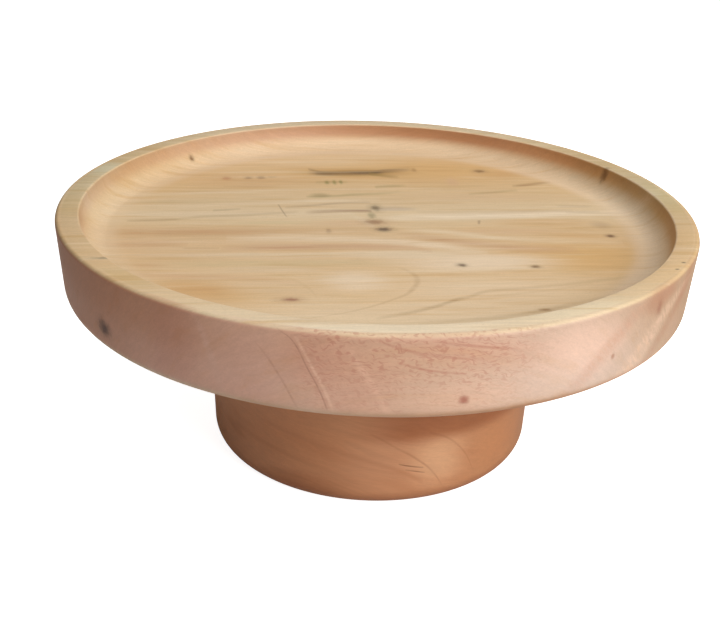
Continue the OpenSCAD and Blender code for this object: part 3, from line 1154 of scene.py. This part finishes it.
@dataclass
class Joinery:
    """The hidden holes that hold the plate on the drum."""

    dowel_r: float = 10.0
    dowel_low: float = 63.0
    dowel_high: float = 100.0
    screw_circle_r: float = 48.0
    pilot_r: float = 2.5
    pilot_top: float = 103.0
    clearance_r: float = 2.75
    counterbore_r: float = 6.0
    head_r: float = 5.0
    head_z: float = 42.5
    seat_h: float = 2.109
    over: float = 1.0
    dowel_steps: int = 96
    pilot_steps: int = 48
    screw_steps: int = 64

    def screw_places(self) -> list[Point]:
        """Where the four screws stand.

        Returns:
            Their places, as (x, y) in millimetres.
        """
        reach = self.screw_circle_r * math.sqrt(0.5)
        return [(x, y) for x in (-reach, reach) for y in (-reach, reach)]

    def cut_plate(self, plate: bpy.types.Object, underside: float) -> None:
        """Cuts the dowel's hole and the four pilot holes up into the plate.

        Args:
            plate: the plate.
            underside: the height of its underside, in millimetres.
        """
        low = underside - self.over
        dowel = [(0, low), (self.dowel_r, low), (self.dowel_r, self.dowel_high), (0, self.dowel_high)]
        pilot = [(0, low), (self.pilot_r, low), (self.pilot_r, self.pilot_top), (0, self.pilot_top)]
        pilots = copied(turned("pilot_cutter", pilot, self.pilot_steps), self.screw_places())
        bore(plate, [turned("dowel_cutter", dowel, self.dowel_steps), *pilots])

    def cut_drum(self, drum: bpy.types.Object, top: float) -> None:
        """Cuts the dowel's hole down into the drum and the four screw holes through it.

        Args:
            drum: the drum.
            top: the height of its top, in millimetres.
        """
        high = top + self.over
        dowel = [(0, self.dowel_low), (self.dowel_r, self.dowel_low), (self.dowel_r, high), (0, high)]
        screw = [
            (0, -self.over), (self.counterbore_r, -self.over), (self.counterbore_r, self.head_z),
            (self.head_r, self.head_z), (self.clearance_r, self.head_z + self.seat_h),
            (self.clearance_r, high), (0, high),
        ]
        screws = copied(turned("screw_cutter", screw, self.screw_steps), self.screw_places())
        bore(drum, [turned("dowel_cutter", dowel, self.dowel_steps), *screws])


@dataclass
class Plate:
    """The dished round plate, turned from one slab."""

    corner_r: float = 150.0
    side_lean: float = 2.6
    top_edge_r: float = 2.0
    low_edge_r: float = 7.0
    rim_w: float = 11.0
    rim_edge_r: float = 1.0
    cove_r: float = 12.0
    steps: int = 720

    def section(self) -> list[Point]:
        """The half section, from the middle of the dish floor round to the middle of the underside."""
        low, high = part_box("plate")
        radius, top, underside = self.corner_r, high.z / MM, low.z / MM
        inner = radius - self.rim_w
        floor = top - self.cove_r - self.rim_edge_r
        return rounded([
            Corner(0, floor),
            Corner(inner, floor, self.cove_r, 18),
            Corner(inner, top, self.rim_edge_r, 5),
            Corner(radius, top, self.top_edge_r, 7),
            Corner(radius - self.side_lean, underside, self.low_edge_r, 12),
            Corner(0, underside),
        ])

    def build(self, joinery: Joinery) -> bpy.types.Object:
        """Turns the plate and cuts its hidden holes.

        Args:
            joinery: the holes that hold it on the drum.

        Returns:
            The plate's object.
        """
        plate = turned("turned_plate", self.section(), self.steps)
        joinery.cut_plate(plate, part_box("plate")[0].z / MM)
        smooth(plate)
        dress(plate, PlateWood().material())
        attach(plate, ROOT)
        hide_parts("plate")
        LOG.info("%s: %d faces", plate.name, len(plate.data.polygons))
        return plate


@dataclass
class Drum:
    """The solid drum under the plate."""

    top_r: float = 81.5
    foot_r: float = 78.5
    foot_edge_r: float = 10.5
    foot_ring_w: float = 10.0
    relief_depth: float = 2.5
    steps: int = 360

    def section(self) -> list[Point]:
        """The half section, from the middle of the top round to the middle of the foot's relief."""
        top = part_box("pedestal")[1].z / MM
        relief = self.foot_r - self.foot_edge_r - self.foot_ring_w
        return rounded([
            Corner(0, top),
            Corner(self.top_r, top),
            Corner(self.foot_r, 0, self.foot_edge_r, 14),
            Corner(relief, 0),
            Corner(relief - self.relief_depth, self.relief_depth),
            Corner(0, self.relief_depth),
        ])

    def build(self, joinery: Joinery) -> bpy.types.Object:
        """Turns the drum and cuts its hidden holes.

        Args:
            joinery: the holes that hold it under the plate.

        Returns:
            The drum's object.
        """
        drum = turned("turned_drum", self.section(), self.steps)
        joinery.cut_drum(drum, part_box("pedestal")[1].z / MM)
        smooth(drum)
        dress(drum, DrumWood().material())
        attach(drum, ROOT)
        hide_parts("pedestal")
        LOG.info("%s: %d faces", drum.name, len(drum.data.polygons))
        return drum


class Fastenings:
    """The dowel and the screws, shown as their CAD solids."""

    def dress(self, nodes: dict[str, bpy.types.Object]) -> None:
        """Gives the CAD solids their finishes."""
        for name, finish in (("centre_dowel", DowelWood()), ("fixing_screws", ScrewSteel())):
            dress(nodes[name], finish.material())
            LOG.info("%s: CAD solid with its own finish", name)


# ---------------------------------------------------------------------------------------------
# Studio
# ---------------------------------------------------------------------------------------------


@dataclass
class SoftBox:
    """A soft studio light, aimed at the stand.

    Attributes:
        name: the light's name.
        azimuth: where it stands, in degrees from the front towards the right.
        elevation: how high it stands, in degrees.
        reach: its distance from the stand, in metres.
        width: the diameter of its round face, in metres.
        power: its power in watts.
        colour: its colour.
    """

    name: str
    azimuth: float
    elevation: float
    reach: float
    width: float
    power: float
    colour: tuple[float, float, float] = (1.0, 1.0, 1.0)

    def build(self, target: Vector) -> bpy.types.Object:
        """Places the light and aims it.

        Args:
            target: the point it is aimed at.

        Returns:
            The light's object.
        """
        azimuth, elevation = math.radians(self.azimuth), math.radians(self.elevation)
        away = Vector((
            math.sin(azimuth) * math.cos(elevation),
            -math.cos(azimuth) * math.cos(elevation),
            math.sin(elevation),
        ))
        data = bpy.data.lights.new(self.name, "AREA")
        data.shape, data.size, data.energy, data.color = "DISK", self.width, self.power, self.colour
        light = bpy.data.objects.new(self.name, data)
        bpy.context.scene.collection.objects.link(light)
        facing = away.to_track_quat("Z", "Y").to_matrix().to_4x4()
        light.matrix_world = Matrix.Translation(target + away * self.reach) @ facing
        return light


@dataclass
class Studio:
    """Plain pale floor, soft light and the camera."""

    look_at: tuple[float, float, float] = (-6.44, 0.0, 60.9)
    distance: float = 583.0
    elevation: float = 24.45
    roll: float = 1.95
    lens: float = 58.35
    sensor_w: float = 36.0
    clip: Point = (0.01, 50.0)
    floor_r: float = 3.0
    floor_glow: float = 0.93
    mottle_size: float = 900.0
    aim_height: float = 0.09
    ambient: float = 0.02

    def camera(self) -> bpy.types.Object:
        """Adds the camera and makes it the scene's own.

        Returns:
            The camera's object.
        """
        data = bpy.data.cameras.new("camera")
        data.lens, data.sensor_width, data.sensor_fit = self.lens, self.sensor_w, "HORIZONTAL"
        data.clip_start, data.clip_end = self.clip
        camera = bpy.data.objects.new("camera", data)
        bpy.context.scene.collection.objects.link(camera)
        tilt = math.radians(self.elevation)
        target = Vector(self.look_at) * MM
        back = Vector((0, -math.cos(tilt), math.sin(tilt))) * self.distance * MM
        camera.matrix_world = (
            Matrix.Translation(target + back)
            @ Matrix.Rotation(math.pi / 2 - tilt, 4, "X")
            @ Matrix.Rotation(math.radians(self.roll), 4, "Z")
        )
        bpy.context.scene.camera = camera
        return camera

    def floor(self) -> bpy.types.Object:
        """Adds the pale floor, a wide flat disc.

        Returns:
            The floor's object.
        """
        deselect()
        bpy.ops.mesh.primitive_circle_add(vertices=128, radius=self.floor_r, fill_type="NGON")
        floor = bpy.context.object
        floor.name = "floor"
        shader = Shader("floor_paint")
        x, y, _ = shader.axes(shader.placed((0, 0, 0)))
        mottle = shader.noise(x / self.mottle_size, y / self.mottle_size, 0.0, 1.0)
        paint = shader.node(
            "ShaderNodeBsdfDiffuse",
            None,
            {"Color": shader.paint(tone(226, 224, 220)).times(mottle * 0.01 + 1.0)},
        )
        glow = shader.node("ShaderNodeEmission", None, {"Color": (1, 1, 1, 1), "Strength": self.floor_glow})
        seen = shader.node("ShaderNodeLightPath").outputs["Is Camera Ray"]
        both = shader.node("ShaderNodeAddShader", None, {0: paint.outputs[0], 1: glow.outputs[0]})
        mixed = shader.node("ShaderNodeMixShader", None, {0: seen, 1: paint.outputs[0], 2: both.outputs[0]})
        # clear from below, so that the underside of the stand can be looked at
        below = shader.node("ShaderNodeNewGeometry").outputs["Backfacing"]
        clear = shader.node("ShaderNodeBsdfTransparent")
        mixed = shader.node("ShaderNodeMixShader", None, {0: below, 1: mixed.outputs[0], 2: clear.outputs[0]})
        shader.tree.links.new(mixed.outputs[0], shader.output.inputs["Surface"])
        dress(floor, shader.material)
        return floor

    def light(self) -> None:
        """Adds the soft lights and the pale surroundings."""
        target = Vector((0, 0, self.aim_height))
        for box in (
            SoftBox("key_light", 40, 27, 1.5, 0.9, 19.5),
            SoftBox("top_light", 0, 86, 1.5, 0.9, 9.0),
            SoftBox("side_light", 100, 58, 1.5, 0.7, 4.0),
            SoftBox("back_light", 180, 40, 1.5, 0.9, 4.2),
        ):
            box.build(target)
        scene = bpy.context.scene
        world = bpy.data.worlds.new("surroundings")
        world.use_nodes = True
        nodes, links = world.node_tree.nodes, world.node_tree.links
        nodes.clear()
        dim, bright = nodes.new("ShaderNodeBackground"), nodes.new("ShaderNodeBackground")
        dim.inputs["Strength"].default_value = self.ambient
        bright.inputs["Strength"].default_value = 1.0
        pick, path = nodes.new("ShaderNodeMixShader"), nodes.new("ShaderNodeLightPath")
        output = nodes.new("ShaderNodeOutputWorld")
        for background in (dim, bright):
            background.inputs["Color"].default_value = (1, 1, 1, 1)
        links.new(path.outputs["Is Camera Ray"], pick.inputs[0])
        links.new(dim.outputs[0], pick.inputs[1])
        links.new(bright.outputs[0], pick.inputs[2])
        links.new(pick.outputs[0], output.inputs["Surface"])
        scene.world = world
        scene.view_settings.view_transform = "Standard"
        scene.view_settings.look = "None"

    def build(self) -> None:
        """Sets up everything around the stand."""
        self.camera()
        self.floor()
        self.light()
        LOG.info("studio: camera, floor and lights")


def main() -> None:
    """Builds the stand and its surroundings."""
    logging.basicConfig(level=logging.INFO, format="%(name)s: %(message)s")
    joinery = Joinery()
    Plate().build(joinery)
    Drum().build(joinery)
    Fastenings().dress(frame["nodes"])
    Studio().build()
    deselect()


if __name__ == "__main__":
    main()
